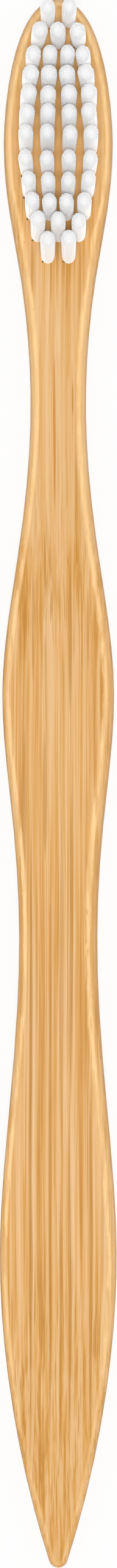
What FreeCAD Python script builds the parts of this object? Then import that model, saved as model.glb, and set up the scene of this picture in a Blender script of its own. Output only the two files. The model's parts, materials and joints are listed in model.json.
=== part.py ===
"""Flat bamboo toothbrush: one handle, stapled bristle tufts and the metal plates that hold them.

The brush lies on its back. +Y runs from the tail to the head, +Z from the back to the bristle tips,
and the origin is on the back, at mid-length. All sizes are in millimetres.
"""

import FreeCAD
import Part
import math
import os

from FreeCAD import Vector

# Lengths along the handle, one after the other from the head's tip to the tail's end
TIP_TO_HEAD = 17.5
HEAD_TO_NECK = 30.7
NECK_TO_BULGE = 35.8
BULGE_TO_WAIST = 31.1
WAIST_TO_TAIL = 36.6
TAIL_TO_END = 38.3

# Full widths of the outline at those places
HEAD_WIDTH = 13.2
NECK_WIDTH = 6.7
BULGE_WIDTH = 13.5
WAIST_WIDTH = 9.45
TAIL_WIDTH = 14.1

# How much narrower each flank is, half way, than the mean of the two widths it joins
HEAD_FLANK_DRAW = 0.6
NECK_FLANK_DRAW = 0.7
BULGE_FLANK_DRAW = 0.5
WAIST_FLANK_DRAW = 0.1

# How full the head's blunt end is: the reach of its curve's handles, as shares of its half width and length
HEAD_TIP_FULLNESS = 0.83
HEAD_SIDE_FULLNESS = 0.26

# The pointed tail: its width half way to the end, the taper of each side and the round of its tip
TAIL_FLANK_WIDTH = 10.9
TAIL_TAPER_DEG = 17.5
TAIL_TIP_RADIUS = 1.15

# Thickness from the flat back to the front face
HEAD_THICKNESS = 5.2
NECK_THICKNESS = 4.8
HANDLE_THICKNESS = 6.0
TAIL_THICKNESS = 4.0

# Round of the long edges: full at the head, where it follows the head's width, and finer at the tail
EDGE_ROUND_HEAD = HEAD_WIDTH / 8
EDGE_ROUND_TAIL = 0.9

# The drilled platform of the head, from the tip, and how far the first and last rows lie inside it
PLATFORM_LENGTH = 33.8
FIRST_ROW_MARGIN = 2.9
LAST_ROW_MARGIN = 2.45

# The tuft pattern: tufts in each row from the tip, the margin beside the widest row, the end pairs' spacing
TUFTS_IN_ROW = (2, 3, 4, 4, 4, 4, 4, 4, 4, 4, 3, 2)
SIDE_MARGIN = 2.7
END_PAIR_SPACING = 2.5

# One drilled hole and its bundle of filaments
HOLE_DIAMETER = 1.5
HOLE_DEPTH = 3.2
TUFT_CLEARANCE = 0.02
BRISTLE_HEIGHT = 10.5
TUFT_FLARE = 0.19
TUFT_CROWN = 0.4

# The flat plate that pins the folded bundle to the bottom of its hole
PLATE_THICKNESS = 0.26
PLATE_HEIGHT = 1.4
PLATE_BITE = 0.2
FOLD_HEIGHT = 0.45
PLATE_TURN_DEG = 45.0

# How far cutting tools reach past the surfaces that they cut
TOOL_OVERRUN = 2.0

# Names of the tufts in a row, from left to right
PLACE_NAMES = {
    2: ("left", "right"),
    3: ("left", "centre", "right"),
    4: ("outer_left", "inner_left", "inner_right", "outer_right"),
}

# Stations along Y
LENGTH = TIP_TO_HEAD + HEAD_TO_NECK + NECK_TO_BULGE + BULGE_TO_WAIST + WAIST_TO_TAIL + TAIL_TO_END
TIP_Y = LENGTH / 2
HEAD_Y = TIP_Y - TIP_TO_HEAD
NECK_Y = HEAD_Y - HEAD_TO_NECK
BULGE_Y = NECK_Y - NECK_TO_BULGE
WAIST_Y = BULGE_Y - BULGE_TO_WAIST
TAIL_Y = WAIST_Y - WAIST_TO_TAIL
END_Y = TAIL_Y - TAIL_TO_END
PLATFORM_Y = TIP_Y - PLATFORM_LENGTH

# Heights that the holes, the bundles and the plates share
HOLE_FLOOR = HEAD_THICKNESS - HOLE_DEPTH
BRISTLE_TOP = HEAD_THICKNESS + BRISTLE_HEIGHT
PLATE_BOTTOM = HOLE_FLOOR + FOLD_HEIGHT
PLATE_WIDTH = HOLE_DIAMETER + 2 * PLATE_BITE

UP = Vector(0, 0, 1)
TAILWARD = Vector(0, -1, 0)


def line(start, end):
    """A straight edge between two points."""
    return Part.LineSegment(start, end).toShape()


def curve(points, first_direction, last_direction):
    """A smooth curve through the points that leaves and arrives along the given directions."""
    spline = Part.BSplineCurve()
    spline.interpolate(Points=points, InitialTangent=first_direction, FinalTangent=last_direction)
    return spline


def side_curve(side):
    """The long wavy side from the widest place of the head to the tail's round tip; side is +1 or -1."""
    taper = math.radians(TAIL_TAPER_DEG)
    widths = [
        (HEAD_Y, HEAD_WIDTH),
        ((HEAD_Y + NECK_Y) / 2, (HEAD_WIDTH + NECK_WIDTH) / 2 - HEAD_FLANK_DRAW),
        (NECK_Y, NECK_WIDTH),
        ((NECK_Y + BULGE_Y) / 2, (NECK_WIDTH + BULGE_WIDTH) / 2 - NECK_FLANK_DRAW),
        (BULGE_Y, BULGE_WIDTH),
        ((BULGE_Y + WAIST_Y) / 2, (BULGE_WIDTH + WAIST_WIDTH) / 2 - BULGE_FLANK_DRAW),
        (WAIST_Y, WAIST_WIDTH),
        ((WAIST_Y + TAIL_Y) / 2, (WAIST_WIDTH + TAIL_WIDTH) / 2 - WAIST_FLANK_DRAW),
        (TAIL_Y, TAIL_WIDTH),
        ((TAIL_Y + END_Y) / 2, TAIL_FLANK_WIDTH),
        (
            END_Y + TAIL_TIP_RADIUS * (1 - math.sin(taper)),
            2 * TAIL_TIP_RADIUS * math.cos(taper),
        ),
    ]
    points = [Vector(side * width / 2, y, 0) for y, width in widths]
    return curve(points, TAILWARD, Vector(-side * math.sin(taper), -math.cos(taper), 0))


def head_curve(side):
    """Half of the head's blunt end, clockwise, between its tip and its widest place; side is +1 or -1."""
    half_width = side * HEAD_WIDTH / 2
    poles = [
        Vector(0, TIP_Y, 0),
        Vector(half_width * HEAD_TIP_FULLNESS, TIP_Y, 0),
        Vector(half_width, HEAD_Y + TIP_TO_HEAD * HEAD_SIDE_FULLNESS, 0),
        Vector(half_width, HEAD_Y, 0),
    ]
    bezier = Part.BezierCurve()
    bezier.setPoles(poles[::side])
    return bezier


def outline():
    """The closed outline in plan: the head's blunt end, two wavy sides and the tail's round tip."""
    right = side_curve(1)
    left = side_curve(-1)
    tail = Part.Arc(right.EndPoint, Vector(0, END_Y, 0), left.EndPoint)
    edges = [shape.toShape() for shape in (head_curve(-1), head_curve(1), right, tail, left)]
    return Part.Wire(Part.__sortEdges__(edges))


def side_profile():
    """The closed side view: flat back, flat platform, thin neck, flat handle and a tail that slopes down."""
    front = TIP_Y + TOOL_OVERRUN
    rear = END_Y - TOOL_OVERRUN
    platform_end = Vector(0, PLATFORM_Y, HEAD_THICKNESS)
    handle_start = Vector(0, BULGE_Y, HANDLE_THICKNESS)
    handle_end = Vector(0, TAIL_Y, HANDLE_THICKNESS)
    tail_end = Vector(0, END_Y, TAIL_THICKNESS)
    slope = Vector(0, END_Y - TAIL_Y, TAIL_THICKNESS - HANDLE_THICKNESS).normalize()
    tail_past = tail_end + slope * TOOL_OVERRUN / abs(slope.y)
    neck = curve([platform_end, Vector(0, NECK_Y, NECK_THICKNESS), handle_start], TAILWARD, TAILWARD)
    tail = curve([handle_end, tail_end], TAILWARD, slope)
    edges = [
        line(Vector(0, front, 0), Vector(0, front, HEAD_THICKNESS)),
        line(Vector(0, front, HEAD_THICKNESS), platform_end),
        neck.toShape(),
        line(handle_start, handle_end),
        tail.toShape(),
        line(tail_end, tail_past),
        line(tail_past, Vector(0, rear, 0)),
        line(Vector(0, rear, 0), Vector(0, front, 0)),
    ]
    return Part.Wire(Part.__sortEdges__(edges))


def edge_round(y):
    """The round of the long edges at a station, growing evenly from the tail to the head."""
    share = (y - END_Y) / LENGTH
    return EDGE_ROUND_TAIL + (EDGE_ROUND_HEAD - EDGE_ROUND_TAIL) * share


def is_wall(face):
    """True for a face that stands upright round the outline."""
    u_low, u_high, v_low, v_high = face.ParameterRange
    return abs(face.normalAt((u_low + u_high) / 2, (v_low + v_high) / 2).z) < 1e-6


def round_edges(blank):
    """Rounds the front and back rims of the blank, where the upright walls meet the other faces."""
    rounds = []
    for number, edge in enumerate(blank.Edges, start=1):
        walls = [is_wall(face) for face in blank.ancestorsOfType(edge, Part.Face)]
        if walls.count(True) == 1:
            start = edge.firstVertex(True).Point.y
            end = edge.lastVertex(True).Point.y
            rounds.append((number, edge_round(start), edge_round(end)))
    document = FreeCAD.newDocument("handle")
    source = document.addObject("Part::Feature", "blank")
    source.Shape = blank
    fillet = document.addObject("Part::Fillet", "rounded")
    fillet.Base = source
    fillet.Edges = rounds
    document.recompute()
    return fillet.Shape.Solids[0]


def tuft_places():
    """Yields (name, x, y) of each tuft. The rows' ends follow an ellipse, and each row is evenly spread."""
    rows = len(TUFTS_IN_ROW)
    first = TIP_Y - FIRST_ROW_MARGIN
    last = PLATFORM_Y + LAST_ROW_MARGIN
    half_length = (first - last) / 2
    half_width = HEAD_WIDTH / 2 - SIDE_MARGIN
    end_share = END_PAIR_SPACING / 2 / half_width
    ellipse_length = half_length / math.sqrt(1 - end_share**2)
    for row, count in enumerate(TUFTS_IN_ROW):
        y = first + (last - first) * row / (rows - 1)
        reach = half_width * math.sqrt(1 - ((y - (first + last) / 2) / ellipse_length) ** 2)
        for place, name in enumerate(PLACE_NAMES[count]):
            x = reach * (2 * place / (count - 1) - 1)
            yield f"tuft_row_{row + 1:02d}_{name}", x, y


def plate_box(height):
    """A box of a plate's plan, centred on the hole's axis and turned across the grain, of that height."""
    corner = Vector(-PLATE_WIDTH / 2, -PLATE_THICKNESS / 2, PLATE_BOTTOM)
    box = Part.makeBox(PLATE_WIDTH, PLATE_THICKNESS, height, corner)
    box.rotate(Vector(), UP, PLATE_TURN_DEG)
    return box


def hole_cutter():
    """A drilled blind hole with the two slits that the plate cuts in its wall on the way down."""
    top = HEAD_THICKNESS + TOOL_OVERRUN
    drill = Part.makeCylinder(HOLE_DIAMETER / 2, top - HOLE_FLOOR, Vector(0, 0, HOLE_FLOOR))
    return drill.fuse(plate_box(top - PLATE_BOTTOM))


def tuft():
    """A bundle of filaments folded round its plate, flaring from the hole's mouth to a crowned tip."""
    root = HOLE_DIAMETER / 2 - TUFT_CLEARANCE
    tip = root + TUFT_FLARE
    crown_start = BRISTLE_TOP - TUFT_CROWN
    crown_radius = (tip**2 + TUFT_CROWN**2) / (2 * TUFT_CROWN)
    crown_half_angle = math.asin(tip / crown_radius) / 2
    crown_middle = Vector(
        crown_radius * math.sin(crown_half_angle),
        0,
        BRISTLE_TOP - crown_radius * (1 - math.cos(crown_half_angle)),
    )
    axis_bottom = Vector(0, 0, HOLE_FLOOR)
    axis_top = Vector(0, 0, BRISTLE_TOP)
    corners = [
        axis_bottom,
        Vector(root, 0, HOLE_FLOOR),
        Vector(root, 0, HEAD_THICKNESS),
        Vector(tip, 0, crown_start),
    ]
    edges = [line(start, end) for start, end in zip(corners, corners[1:])]
    edges.append(Part.Arc(corners[-1], crown_middle, axis_top).toShape())
    edges.append(line(axis_top, axis_bottom))
    bundle = Part.Face(Part.Wire(edges)).revolve(Vector(), UP, 360)
    return bundle.cut(plate_box(PLATE_HEIGHT))


def placed(shape, x, y):
    """A copy of a shape made on the Z axis, moved to one tuft's place."""
    copy = shape.copy()
    copy.translate(Vector(x, y, 0))
    return copy


def handle(places):
    """The bamboo handle: outline and side view cut from one strip, edges rounded, tuft holes drilled."""
    width = max(HEAD_WIDTH, BULGE_WIDTH, TAIL_WIDTH) + 2 * TOOL_OVERRUN
    height = max(HEAD_THICKNESS, NECK_THICKNESS, HANDLE_THICKNESS) + TOOL_OVERRUN
    strip = Part.Face(side_profile()).extrude(Vector(width, 0, 0))
    strip.translate(Vector(-width / 2, 0, 0))
    blank = Part.Face(outline()).extrude(Vector(0, 0, height)).common(strip).Solids[0]
    cutter = hole_cutter()
    drilled = round_edges(blank).cut([placed(cutter, x, y) for _, x, y in places])
    return drilled.Solids[0]


def export(name, shape):
    """Writes one node."""
    shape.exportStep(os.path.join("parts", name + ".step"))


def main():
    os.makedirs("parts", exist_ok=True)
    places = list(tuft_places())
    export("handle", handle(places))
    bundle = tuft()
    for name, x, y in places:
        export(name, placed(bundle, x, y))
    plate = plate_box(PLATE_HEIGHT)
    export("anchor_plates", Part.makeCompound([placed(plate, x, y) for _, x, y in places]))


main()
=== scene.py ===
"""Looks of a flat bamboo toothbrush: bamboo handle, nylon filaments in every tuft, white studio floor."""

import json
import math
import random

import bpy
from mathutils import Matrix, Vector

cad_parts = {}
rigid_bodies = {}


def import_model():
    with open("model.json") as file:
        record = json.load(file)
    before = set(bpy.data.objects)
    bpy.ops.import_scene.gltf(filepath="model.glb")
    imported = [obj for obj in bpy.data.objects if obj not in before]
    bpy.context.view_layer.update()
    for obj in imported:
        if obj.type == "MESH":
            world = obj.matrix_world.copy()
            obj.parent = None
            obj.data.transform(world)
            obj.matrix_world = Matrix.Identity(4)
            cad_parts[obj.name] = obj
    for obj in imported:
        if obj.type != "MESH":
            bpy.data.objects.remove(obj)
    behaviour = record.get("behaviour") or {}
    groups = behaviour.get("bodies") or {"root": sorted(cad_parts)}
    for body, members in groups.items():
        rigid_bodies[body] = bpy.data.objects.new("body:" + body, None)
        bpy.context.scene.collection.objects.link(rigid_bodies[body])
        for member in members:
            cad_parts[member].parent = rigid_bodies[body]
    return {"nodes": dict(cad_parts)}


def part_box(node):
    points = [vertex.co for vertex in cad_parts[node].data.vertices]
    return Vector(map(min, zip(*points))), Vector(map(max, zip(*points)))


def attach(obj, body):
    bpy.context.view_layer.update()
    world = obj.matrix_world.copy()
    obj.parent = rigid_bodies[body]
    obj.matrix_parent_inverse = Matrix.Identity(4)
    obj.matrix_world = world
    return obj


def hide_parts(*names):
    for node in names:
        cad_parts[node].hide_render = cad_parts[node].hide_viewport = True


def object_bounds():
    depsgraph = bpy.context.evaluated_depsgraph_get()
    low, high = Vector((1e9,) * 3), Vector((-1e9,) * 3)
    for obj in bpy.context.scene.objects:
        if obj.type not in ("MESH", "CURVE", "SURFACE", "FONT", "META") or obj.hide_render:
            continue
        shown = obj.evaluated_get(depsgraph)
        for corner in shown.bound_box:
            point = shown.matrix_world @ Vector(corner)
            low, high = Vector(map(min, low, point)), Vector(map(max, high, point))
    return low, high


MM = 0.001

# The photograph's longer side, and the brush's length in it, in pixels
FRAME_LONG_SIDE = 2576
BRUSH_PIXELS = 2571

# The camera: its distance and place sideways in metres, its near limit in metres, its sensor in millimetres
CAMERA_DISTANCE = 0.54
CAMERA_SIDEWAYS = 0.03 * MM
CAMERA_NEAR = 0.01
SENSOR = 36.0

# The studio, in metres and watts: the sky's level, the square lamp's place, side and power, and the floor's
# half side, drop below the brush and share of pure white
SKY_LEVEL = 0.6
LAMP_PLACE = (0.0, -0.1, 0.95)
LAMP_SIDE = 0.14
LAMP_POWER = 4.4
FLOOR_HALF = 3.0
FLOOR_DROP = 0.02 * MM
FLOOR_WHITE = 0.85

# Heights of the brush in millimetres: its widest outline, the drilled platform and the top of the grip
OUTLINE_HEIGHT = 2.4
PLATFORM_TOP = 5.2
HANDLE_TOP = 6.0

# The bundle of filaments in a tuft, in millimetres: its reach from the middle at the hole's mouth, its reach
# along the handle at the tips, and the radius of a filament's rounded end
MOUTH_REACH = 0.74
TIP_REACH_ALONG = 1.04
FILAMENT_RADIUS = 0.11

# The bundle's make: a filament's share of its radius, its rings of filaments, the flutes round it, the steps
# in a flute, how full a flute is, how its width and its lean grow, the flutes' scatter, and where the rings
# lie by share
FILAMENT_SHARE = 0.12
BUNDLE_RINGS = 4
FLUTES = 24
FLUTE_STEPS = 4
FLUTE_FULLNESS = 0.85
FLARE_POWER = 0.3
LEAN_POWER = 1.4
STRAY_SCATTER = 0.018
BUNDLE_SHARES = (0.0, 0.04, 0.12, 0.3, 0.5, 0.7, 0.9, 1.0)

# The bundle's crown: how far it drops to its rim in millimetres, how full it is, and its rings
CROWN_DROP = 1.1
CROWN_POWER = 2.8
CROWN_RINGS = 16

# The plate that a bundle is folded round, in millimetres, and the sides of each leg beside it
PLATE_HALF_GAP = 0.15
PLATE_TOP = 3.85
PLATE_TURN = math.radians(45)
LEG_SIDES = 12

# Each row of tufts, from the tip: its lean in degrees, its spread at the tips, and a tuft's reach across
# in millimetres. Then the scatter of single tufts in degrees, and the seed of all scatter.
ROW_LEAN = (0.5, 0.0, -1.0, 0.0, 1.8, 3.6, 4.0, 1.8, 1.8, 2.0, 3.8, 5.6)
ROW_SPREAD = (1.0, 0.91, 0.95, 0.92, 0.93, 0.97, 1.0, 1.02, 1.02, 1.03, 0.97, 1.0)
ROW_REACH = (0.88, 0.94, 0.88, 0.98, 0.96, 0.92, 0.88, 0.86, 0.86, 0.87, 0.88, 0.88)
TUFT_LEAN_SCATTER = 0.35
TUFT_SEED = 42

# Noise in the bamboo: its scale per millimetre across, along and through the handle, its detail and
# roughness, and the values of it that become nothing and full
BANDS = ((0.8, 0.006, 0.5), 2.0, 0.5, 0.3, 0.7)
STREAKS = ((2.4, 0.016, 1.3), 3.0, 0.6, 0.4, 0.62)
FIBRES = ((8.5, 0.07, 5.0), 2.0, 0.6, 0.25, 0.75)
LINES = ((5.2, 0.02, 3.0), 1.0, 0.5, 0.59, 0.68)
BLOTCHES = ((2.0, 0.17, 2.0), 2.0, 0.6, 0.35, 0.62)

# How much the bands, streaks and fibres count in the tone, and how the grain wanders across: the scale of
# the noise per millimetre and its reach in millimetres
TONE_SHARES = (0.3, 0.42, 0.28)
WANDER_SCALE = (0.15, 0.03, 0.15)
WANDER_REACH = 0.5

# Screen colours of the bamboo: its tones with their places from pale to dark, and its single features
WOOD_TONES = (
    (0.08, (229, 187, 134)),
    (0.38, (222, 173, 111)),
    (0.6, (217, 161, 86)),
    (0.92, (190, 129, 43)),
)
LINE_COLOUR = (188, 130, 36)
VEIN_COLOUR = (183, 122, 21)
NECK_LINE_COLOUR = (202, 128, 22)
# Painted light: this paler colour lightens the shade on the wood between the tufts
PAINTED_GAP_LIGHT_COLOUR = (252, 196, 120)
# Partly paler worn fibres and partly a painted highlight along the rounded edges
WORN_AND_HIGHLIGHT_COLOUR = (252, 208, 148)
# Partly darker sawn wood and partly painted shade on the steep sides
SIDE_AND_SHADE_COLOUR = (184, 130, 70)

# Long ovals in the bamboo's front: place across, start and end along, half width (all mm) and strength. The
# veins are dark bundles of fibre, the neck has an orange line, and the wood between the tufts gets painted
# light, a paler colour that lightens the shade which falls there.
VEINS = (
    (-3.05, 67, 58, 0.20, 0.61),
    (-0.80, 67, 57, 0.16, 0.68),
    (1.10, 65, 56, 0.20, 0.61),
    (2.60, 67, 55, 0.18, 0.68),
    (1.84, 49, 44, 0.14, 0.68),
    (2.25, 42, 26, 0.22, 0.61),
    (-1.65, 31, 23, 0.16, 0.68),
    (-3.10, 27, 11, 0.15, 0.74),
    (-4.05, 24, 14, 0.20, 0.81),
    (1.45, 28, 7, 0.26, 0.88),
    (3.60, 25, 13, 0.16, 0.68),
    (5.15, 17, 6, 0.18, 0.74),
    (-4.10, 8, -14, 0.32, 0.74),
    (-1.60, 7, -10, 0.32, 0.68),
    (1.55, 3, -42, 0.28, 0.88),
    (0.38, 0, -48, 0.30, 0.54),
    (-1.00, -2, -87, 0.24, 0.90),
    (-3.35, 4, -88, 0.24, 0.90),
    (1.38, -33, -87, 0.22, 0.94),
    (3.95, -31, -87, 0.22, 0.94),
    (0.25, -45, -86, 0.20, 0.80),
    (5.45, -38, -64, 0.16, 0.54),
)
NECK_LINE = (-0.35, 54.5, 30.5, 0.20, 0.9)
# Painted light on the wood between the tufts, which lightens the shade that falls there
PAINTED_GAP_LIGHT = (0.0, 93, 65, 4.8, 0.8)

# How an oval fades with depth, how wide its soft edge is, and how strong a vein is between and on the fibres
OVAL_FADE_PER_MM = 0.22
OVAL_EDGE = 0.7
VEIN_GRAIN = (0.7, 1.0)

# Where the bamboo turns paler and calmer along the handle, and where it turns back, in millimetres. Then how
# pale the head is, what pale wood keeps of its tone, and how strong the lines are in dark and pale wood.
NECK_START = (24, 34)
NECK_END = (66, 56)
HEAD_START = (66, 74)
HEAD_PALENESS = 0.7
PALE_TONE = 0.68
LINE_STRENGTHS = (0.7, 0.3)

# The pale line along the edges, partly worn paler fibres and partly a painted highlight, lies between four
# slopes of the surface, on the handle and on the head, each the upright part of its normal. It has a
# strength on the steep side, in its gaps and at the tail, has fewer gaps in pale wood, and fades towards the
# tail between two places in millimetres.
WORN_AND_HIGHLIGHT_SLOPES = ((0.998, 0.965), (0.955, 0.86), (0.94, 0.82), (0.80, 0.62))
WORN_AND_HIGHLIGHT_STEEP = 0.3
WORN_AND_HIGHLIGHT_GAPS = 0.5
WORN_AND_HIGHLIGHT_TAIL = 0.5
WORN_AND_HIGHLIGHT_EVENNESS = 0.5
TAIL_FADE = (-84, -56)

# The slopes at which the bamboo turns into its darker side, partly darker sawn wood and partly painted
# shade, how much of the side's colour it takes, and how much of the surface's relief comes from the streaks,
# next to the fibres
SIDE_AND_SHADE_SLOPES = (0.65, 0.35)
SIDE_AND_SHADE_SHARE = 0.5
STREAK_RELIEF = 0.6


def srgb(red, green, blue):
    """The linear colour of three 8-bit screen values."""

    def linear(value):
        share = value / 255
        return share / 12.92 if share <= 0.04045 else ((share + 0.055) / 1.055) ** 2.4

    return (linear(red), linear(green), linear(blue), 1.0)


class Graph:
    """A node tree, with short calls that add a node, set its values and join its inputs."""

    def __init__(self, tree):
        self.tree = tree
        tree.nodes.clear()

    def put(self, socket, value):
        if isinstance(value, bpy.types.NodeSocket):
            self.tree.links.new(value, socket)
        else:
            socket.default_value = value

    def add(self, kind, inputs=None, **settings):
        node = self.tree.nodes.new("ShaderNode" + kind)
        for name, value in settings.items():
            setattr(node, name, value)
        for key, value in (inputs or {}).items():
            self.put(node.inputs[key], value)
        return node

    def math(self, operation, first, second, clamp=False):
        node = self.add("Math", {0: first, 1: second}, operation=operation, use_clamp=clamp)
        return node.outputs[0]

    def times(self, first, second):
        return self.math("MULTIPLY", first, second)

    def vector(self, operation, first, second):
        return self.add("VectorMath", {0: first, 1: second}, operation=operation).outputs["Vector"]

    def part(self, vector, axis):
        return self.add("SeparateXYZ", {0: vector}).outputs[axis]

    def noise(self, place, scale, detail=2.0, roughness=0.5):
        """Soft noise with its own scale along each axis."""
        stretched = self.vector("MULTIPLY", place, scale)
        inputs = {"Vector": stretched, "Scale": 1.0, "Detail": detail, "Roughness": roughness}
        return self.add("TexNoise", inputs).outputs["Fac"]

    def remap(self, value, low, high, to_low=0.0, to_high=1.0):
        """A smooth step from one range to another, held at its ends."""
        inputs = {"Value": value, "From Min": low, "From Max": high, "To Min": to_low, "To Max": to_high}
        return self.add("MapRange", inputs, interpolation_type="SMOOTHSTEP").outputs["Result"]

    def grain(self, place, scale, detail, roughness, low, high):
        """Soft noise, stretched so that it goes from nothing to full between two of its values."""
        return self.remap(self.noise(place, scale, detail, roughness), low, high)

    def mix(self, share, first, second):
        node = self.add("Mix", data_type="RGBA")
        for index, value in ((0, share), (6, first), (7, second)):
            self.put(node.inputs[index], value)
        return node.outputs[2]

    def bump(self, height, depth):
        inputs = {"Height": height, "Distance": depth, "Strength": 1.0}
        return self.add("Bump", inputs).outputs["Normal"]

    def finish(self, surface):
        """Ends the tree in one plain shader with the values given."""
        shader = self.add("BsdfPrincipled", surface)
        self.add("OutputMaterial", {"Surface": shader.outputs["BSDF"]})


def new_material(name):
    material = bpy.data.materials.new(name)
    material.use_nodes = True
    return material, Graph(material.node_tree)


def oval_mask(graph, place, oval):
    """How deep a point lies in a long, thin, pointed oval near the handle's front, times its strength."""
    across, start, end, half_width, strength = oval
    middle = Vector((across, (start + end) / 2, HANDLE_TOP))
    reach = Vector((1 / half_width, 2 / (start - end), OVAL_FADE_PER_MM))
    offset = graph.vector("MULTIPLY", graph.vector("SUBTRACT", place, middle), reach)
    square = graph.add("VectorMath", {0: offset, 1: offset}, operation="DOT_PRODUCT").outputs["Value"]
    inside = graph.math("SUBTRACT", 1.0, square, clamp=True)
    return graph.times(graph.remap(inside, 0.0, OVAL_EDGE), strength)


def wandering(graph, place):
    """A place in millimetres, moved a little across, so that the grain isn't quite straight."""
    place = graph.vector("MULTIPLY", place, (1 / MM, 1 / MM, 1 / MM))
    wander = graph.math("SUBTRACT", graph.noise(place, WANDER_SCALE, detail=1.0), 0.5)
    shift = graph.add("CombineXYZ", {"X": graph.times(wander, WANDER_REACH)}).outputs[0]
    return graph.vector("ADD", place, shift)


def paleness(graph, along):
    """How pale and calm the bamboo is: most on the neck, less on the head."""
    neck = graph.times(graph.remap(along, *NECK_START), graph.remap(along, *NECK_END))
    return graph.math("MAXIMUM", neck, graph.remap(along, *HEAD_START, 0.0, HEAD_PALENESS))


def wood_colour(graph, place, pale, streaks, fibres):
    """Tones of the grain from pale to dark, with fine lines along the handle."""
    tone = 0.0
    for figure, share in zip((graph.grain(place, *BANDS), streaks, fibres), TONE_SHARES):
        tone = graph.math("ADD", tone, graph.times(figure, share))
    tone = graph.times(tone, graph.remap(pale, 0.0, 1.0, 1.0, PALE_TONE))
    ramp = graph.add("ValToRGB", {"Fac": tone})
    stops = ramp.color_ramp.elements
    for position, colour in WOOD_TONES:
        stops.new(position).color = srgb(*colour)
    stops.remove(stops[0])
    stops.remove(stops[-1])
    lines = graph.times(graph.grain(place, *LINES), graph.remap(pale, 0.0, 1.0, *LINE_STRENGTHS))
    return graph.mix(lines, ramp.outputs["Color"], srgb(*LINE_COLOUR))


def add_ovals(graph, place, fibres, colour):
    """Adds the veins, the line on the neck and painted light: paler wood between the tufts, where shade
    falls.
    """
    dark = 0.0
    for vein in VEINS:
        dark = graph.math("MAXIMUM", dark, oval_mask(graph, place, vein))
    dark = graph.times(dark, graph.remap(fibres, 0.0, 1.0, *VEIN_GRAIN))
    colour = graph.mix(dark, colour, srgb(*VEIN_COLOUR))
    colour = graph.mix(oval_mask(graph, place, NECK_LINE), colour, srgb(*NECK_LINE_COLOUR))
    # Painted light: a paler colour on the wood between the tufts, where the tufts cast shade
    return graph.mix(oval_mask(graph, place, PAINTED_GAP_LIGHT), colour, srgb(*PAINTED_GAP_LIGHT_COLOUR))


def wear_and_highlight_edges(graph, place, along, pale, upright, colour):
    """Adds the pale, broken line along the rounded edges, partly worn paler fibres and partly a painted
    highlight, and the darker sides below it, partly darker sawn wood and partly painted shade.
    """
    flat, curved, steep, sheer = (graph.remap(along, *HEAD_START, *ends) for ends in WORN_AND_HIGHLIGHT_SLOPES)
    inner = graph.remap(upright, flat, curved)
    outer = graph.remap(upright, sheer, steep, WORN_AND_HIGHLIGHT_STEEP, 1.0)
    whole = graph.math("MAXIMUM", graph.grain(place, *BLOTCHES), graph.times(pale, WORN_AND_HIGHLIGHT_EVENNESS))
    worn_and_highlight = graph.times(graph.times(inner, outer), graph.remap(whole, 0.0, 1.0, WORN_AND_HIGHLIGHT_GAPS, 1.0))
    worn_and_highlight = graph.times(worn_and_highlight, graph.remap(along, *TAIL_FADE, WORN_AND_HIGHLIGHT_TAIL, 1.0))
    # The pale line is partly worn paler fibres and partly a painted highlight
    colour = graph.mix(worn_and_highlight, colour, srgb(*WORN_AND_HIGHLIGHT_COLOUR))
    # Painted shade, partly darker sawn wood, on the steep sides that turn from the light
    side = graph.times(graph.remap(upright, *SIDE_AND_SHADE_SLOPES), SIDE_AND_SHADE_SHARE)
    return graph.mix(side, colour, srgb(*SIDE_AND_SHADE_COLOUR))


def bamboo():
    """Sanded bamboo: a solid pattern of fibres that run along Y, so that every cut shows its own figure."""
    material, graph = new_material("bamboo_sanded")
    coordinates = graph.add("TexCoord").outputs
    place = wandering(graph, coordinates["Object"])
    along = graph.part(place, "Y")
    upright = graph.math("ABSOLUTE", graph.part(coordinates["Normal"], "Z"), 0.0)
    pale = paleness(graph, along)
    streaks = graph.grain(place, *STREAKS)
    fibres = graph.grain(place, *FIBRES)
    colour = wood_colour(graph, place, pale, streaks, fibres)
    colour = add_ovals(graph, place, fibres, colour)
    colour = wear_and_highlight_edges(graph, place, along, pale, upright, colour)
    relief = graph.math("ADD", fibres, graph.times(streaks, STREAK_RELIEF))
    surface = {
        "Base Color": colour,
        "Roughness": graph.remap(streaks, 0.0, 1.0, 0.4, 0.5),
        "Specular IOR Level": 0.25,
        "Normal": graph.bump(relief, depth=0.012 * MM),
    }
    graph.finish(surface)
    return material


def nylon():
    """White nylon filaments: light scatters inside a tuft, and glances off the many fine sides."""
    material, graph = new_material("nylon_white")
    place = graph.add("TexCoord").outputs["Object"]
    strands = graph.noise(place, scale=(4000.0, 4000.0, 60.0))
    surface = {
        "Base Color": graph.mix(strands, srgb(251, 251, 253), srgb(255, 255, 255)),
        "Roughness": 0.4,
        "Specular IOR Level": 0.3,
        "Sheen Weight": 1.0,
        "Sheen Roughness": 0.4,
        "Subsurface Weight": 0.9,
        "Subsurface Radius": (1.0, 1.0, 1.0),
        "Subsurface Scale": 2.5 * MM,
        "Normal": graph.bump(strands, depth=0.05 * MM),
    }
    graph.finish(surface)
    return material


def brass():
    """Rolled brass strip with fine drawing lines."""
    material, graph = new_material("brass_strip")
    place = graph.add("TexCoord").outputs["Object"]
    lines = graph.noise(place, scale=(3000.0, 3000.0, 40000.0))
    surface = {
        "Base Color": graph.mix(lines, srgb(196, 160, 92), srgb(226, 196, 128)),
        "Metallic": 1.0,
        "Roughness": graph.remap(lines, 0.3, 0.7, 0.25, 0.4),
        "Normal": graph.bump(lines, depth=0.004 * MM),
    }
    graph.finish(surface)
    return material


def way(turn):
    """The flat direction at an angle."""
    return Vector((math.cos(turn), math.sin(turn)))


def bundle_places(start):
    """Places of the filaments in a bundle of radius one: a middle one and rings of six, twelve and so on."""
    places = [Vector((0.0, 0.0))]
    for ring in range(1, BUNDLE_RINGS + 1):
        reach = (1 - FILAMENT_SHARE) * ring / BUNDLE_RINGS
        places += [way(start + math.pi * step / (3 * ring)) * reach for step in range(6 * ring)]
    return places


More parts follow.
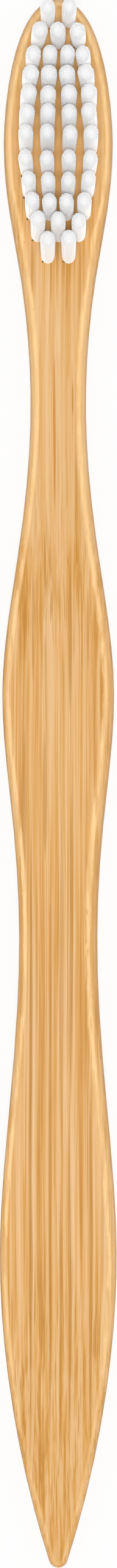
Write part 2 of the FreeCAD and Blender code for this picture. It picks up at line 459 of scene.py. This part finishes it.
def bead(spot, places):
    """How far the rounded end of the nearest filament stands up at a spot of the tuft's crown."""
    nearest = min((spot - place).length_squared for place in places)
    return FILAMENT_RADIUS * math.sqrt(max(0.0, 1 - nearest / FILAMENT_SHARE**2))


def fluted(step):
    """The reach at one step round a bundle of radius one, whose outer filaments each make a round flute."""
    across = 2 * (step % FLUTE_STEPS) / FLUTE_STEPS - 1
    return 1 - FILAMENT_SHARE * (1 - math.sqrt(1 - (FLUTE_FULLNESS * across) ** 2))


def raised(spot, height):
    """A flat spot at a height."""
    return Vector((spot.x, spot.y, height))


def join(vertices, faces, ring_count, sides, pole):
    """Closes rings of vertices into a skin, with a flat root and a pole over the last ring."""
    first = len(vertices) - ring_count * sides
    for ring in range(ring_count - 1):
        low = first + ring * sides
        for side in range(sides):
            after = (side + 1) % sides
            faces.append((low + side, low + after, low + sides + after, low + sides + side))
    faces.append(tuple(first + side for side in reversed(range(sides))))
    last = len(vertices) - sides
    vertices.append(pole)
    for side in range(sides):
        faces.append((last + side, last + (side + 1) % sides, len(vertices) - 1))


def bundle(root, top, lean, tip, chance, vertices, faces):
    """Adds the bundle above its plate: fluted by its filaments, spreading a little, with a beaded crown."""
    sides = FLUTES * FLUTE_STEPS
    start = chance.uniform(0, math.pi)
    turns = [start + 2 * math.pi * step / sides for step in range(sides)]
    ways = [way(turn) * fluted(step) for step, turn in enumerate(turns)]
    stray = [chance.gauss(0, STRAY_SCATTER) for flute in range(FLUTES)]
    shoulder = top - CROWN_DROP - FILAMENT_RADIUS
    levels = [(0.0, PLATE_TOP)]
    levels += [(share, PLATFORM_TOP + (shoulder - PLATFORM_TOP) * share) for share in BUNDLE_SHARES]
    for share, height in levels:
        middle = root.xy + lean * share**LEAN_POWER
        reach = Vector((MOUTH_REACH, MOUTH_REACH)).lerp(tip, share**FLARE_POWER)
        for step, out in enumerate(ways):
            spot = middle + out * reach * (1 + stray[step // FLUTE_STEPS] * share)
            vertices.append(raised(spot, height))
    places = bundle_places(turns[FLUTE_STEPS // 2])
    peak = root.xy + lean
    for ring in range(1, CROWN_RINGS):
        share = 1 - ring / CROWN_RINGS
        for out in ways:
            height = shoulder + CROWN_DROP * (1 - share**CROWN_POWER) + bead(out * share, places)
            vertices.append(raised(peak + out * share * tip, height))
    join(vertices, faces, len(levels) + CROWN_RINGS - 1, sides, raised(peak, top))


def leg(root, side, vertices, faces):
    """Adds one leg of the folded bundle, which stands beside the plate in the hole."""
    corner = math.acos(PLATE_HALF_GAP / MOUTH_REACH)
    middle = PLATE_TURN + side * math.pi / 2
    turns = [middle + corner * (2 * step / (LEG_SIDES - 1) - 1) for step in range(LEG_SIDES)]
    for height in (root.z, PLATE_TOP):
        vertices += [raised(root.xy + way(turn) * MOUTH_REACH, height) for turn in turns]
    centre = root.xy + way(middle) * (PLATE_HALF_GAP + MOUTH_REACH) / 2
    join(vertices, faces, 2, LEG_SIDES, raised(centre, PLATE_TOP))


def tuft(node, material, chance):
    """A folded bundle of filaments in place of one tuft's solid."""
    low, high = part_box(node)
    root = Vector(((low.x + high.x) / 2, (low.y + high.y) / 2, low.z)) / MM
    top = high.z / MM
    row = int(node.split("_")[2]) - 1
    rise = top - PLATFORM_TOP
    tilt = math.radians(ROW_LEAN[row] + chance.gauss(0, TUFT_LEAN_SCATTER))
    sideways = root.x * (ROW_SPREAD[row] - 1) + rise * math.radians(chance.gauss(0, TUFT_LEAN_SCATTER))
    lean = Vector((sideways, rise * math.tan(tilt)))
    tip = Vector((ROW_REACH[row], TIP_REACH_ALONG))
    vertices = []
    faces = []
    bundle(root, top, lean, tip, chance, vertices, faces)
    leg(root, 1, vertices, faces)
    leg(root, -1, vertices, faces)
    mesh = bpy.data.meshes.new(node.replace("tuft", "bristles"))
    mesh.from_pydata([vertex * MM for vertex in vertices], [], faces)
    mesh.polygons.foreach_set("use_smooth", [True] * len(mesh.polygons))
    mesh.materials.append(material)
    piece = bpy.data.objects.new(mesh.name, mesh)
    bpy.context.scene.collection.objects.link(piece)
    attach(piece, "root")
    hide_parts(node)


def dress(node, material):
    """Gives a CAD node its finish."""
    for slot in node.material_slots:
        slot.material = material


def white_for_the_eye(graph, share):
    """How much of pure white a surface shows where it is looked at, straight or in a reflection."""
    path = graph.add("LightPath").outputs
    seen = graph.math("MAXIMUM", path["Is Camera Ray"], path["Is Glossy Ray"])
    seen = graph.math("MAXIMUM", seen, path["Is Transmission Ray"])
    return graph.times(seen, share)


def floor():
    """A wide pale floor that looks white and still takes a soft shadow."""
    material, graph = new_material("floor_white")
    matt = graph.add("BsdfDiffuse", {"Color": (0.9, 0.9, 0.9, 1.0)}).outputs[0]
    glow = graph.add("Emission", {"Color": (1.0, 1.0, 1.0, 1.0), "Strength": 1.0}).outputs[0]
    share = white_for_the_eye(graph, FLOOR_WHITE)
    mixed = graph.add("MixShader", {0: share, 1: matt, 2: glow}).outputs[0]
    graph.add("OutputMaterial", {"Surface": mixed})
    mesh = bpy.data.meshes.new("floor")
    corners = [(x * FLOOR_HALF, y * FLOOR_HALF, 0) for x, y in ((-1, -1), (1, -1), (1, 1), (-1, 1))]
    mesh.from_pydata(corners, [], [(0, 1, 2, 3)])
    mesh.materials.append(material)
    plane = bpy.data.objects.new("floor", mesh)
    plane.location.z = -FLOOR_DROP
    bpy.context.scene.collection.objects.link(plane)


def sky():
    """Even white light from all round, white where it is looked at."""
    world = bpy.data.worlds.new("studio")
    world.use_nodes = True
    graph = Graph(world.node_tree)
    strength = graph.math("MAXIMUM", white_for_the_eye(graph, 1.0), SKY_LEVEL)
    background = graph.add("Background", {"Color": (1.0, 1.0, 1.0, 1.0), "Strength": strength})
    graph.add("OutputWorld", {"Surface": background.outputs[0]})
    bpy.context.scene.world = world


def lamp():
    """A soft square lamp above, which looks at the middle of the brush."""
    light = bpy.data.lights.new("softbox_top", "AREA")
    light.size = LAMP_SIDE
    light.energy = LAMP_POWER
    item = bpy.data.objects.new("softbox_top", light)
    item.location = LAMP_PLACE
    item.rotation_euler = (-Vector(LAMP_PLACE)).to_track_quat("-Z", "Y").to_euler()
    bpy.context.scene.collection.objects.link(item)


def camera(length):
    """Straight above the middle of the brush, with the head at the top of the tall frame."""
    lens = bpy.data.cameras.new("camera")
    lens.sensor_width = SENSOR
    frame_length = length * FRAME_LONG_SIDE / BRUSH_PIXELS
    lens.lens = SENSOR * CAMERA_DISTANCE / frame_length
    lens.clip_start = CAMERA_NEAR
    item = bpy.data.objects.new("camera", lens)
    item.location = (CAMERA_SIDEWAYS, 0, CAMERA_DISTANCE + OUTLINE_HEIGHT * MM)
    bpy.context.scene.collection.objects.link(item)
    bpy.context.scene.camera = item


for item in list(bpy.data.objects):
    bpy.data.objects.remove(item)
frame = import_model()
cad_low, cad_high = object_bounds()

dress(frame["nodes"]["handle"], bamboo())
dress(frame["nodes"]["anchor_plates"], brass())
filament_material = nylon()
chance = random.Random(TUFT_SEED)
for name in sorted(frame["nodes"]):
    if name.startswith("tuft_"):
        tuft(name, filament_material, chance)

floor()
sky()
lamp()
camera(cad_high.y - cad_low.y)
bpy.context.scene.view_settings.view_transform = "Standard"
